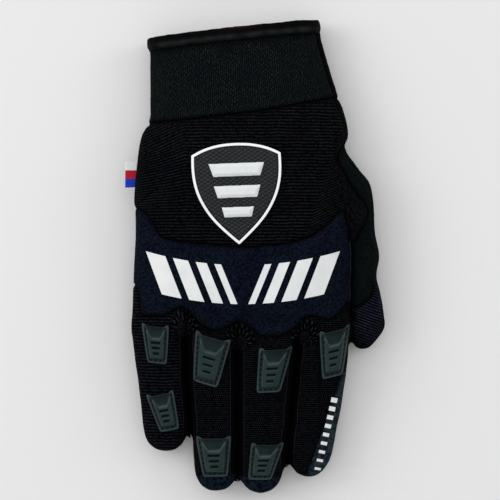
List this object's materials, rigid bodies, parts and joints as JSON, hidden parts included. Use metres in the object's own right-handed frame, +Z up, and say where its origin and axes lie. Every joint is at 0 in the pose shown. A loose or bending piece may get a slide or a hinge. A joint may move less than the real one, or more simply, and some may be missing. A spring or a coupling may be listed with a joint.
{
  "type": "motocross glove",
  "caption": "Right-hand riding glove lying on its palm, with a ribbed stretch back, elastic cuff, moulded knuckle guards, a shield badge and a suede palm.",
  "frame": {"origin": "middle of the footprint, on the surface that the palm rests on", "axes": "+X towards the thumb, +Y from the fingertips to the cuff, +Z up out of the back of the hand"},
  "size_m": [0.1252, 0.2272, 0.032],
  "materials": {
    "cuff_elastic": "fine upright rib, matt",
    "rib_knit": "stretch knit with close cross ribs, matt",
    "soft_panel": "smooth brushed stretch fabric with white printed bars",
    "finger_knit": "fine stretch knit, matt",
    "suede": "black synthetic suede",
    "guard_rubber": "moulded dark grey-green rubber, satin",
    "badge_mesh": "moulded dark grey field with a small diamond relief",
    "badge_white": "moulded white, satin",
    "tab_weave": "woven label in white, red and blue stripes"
  },
  "bodies": {
    "root": {"cuff_hem": "cuff_elastic", "cuff_back": "cuff_elastic", "cuff_palm_side": "cuff_elastic", "back_rib_panel": "rib_knit", "knuckle_panel": "soft_panel", "finger_little": "finger_knit", "finger_ring": "finger_knit", "finger_middle": "finger_knit", "finger_index": "finger_knit", "thumb_knit": "rib_knit", "thumb_suede": "suede", "palm_panel": "suede", "guard_little_base": "guard_rubber", "guard_little_mid": "guard_rubber", "guard_ring_base": "guard_rubber", "guard_ring_tip": "guard_rubber", "guard_middle_base": "guard_rubber", "guard_middle_tip": "guard_rubber", "guard_index_base": "guard_rubber", "badge_plate": "badge_mesh", "badge_rim": "badge_white", "badge_bar_1": "badge_white", "badge_bar_2": "badge_white", "badge_bar_3": "badge_white", "side_tab": "tab_weave"}
  },
  "joints": []
}
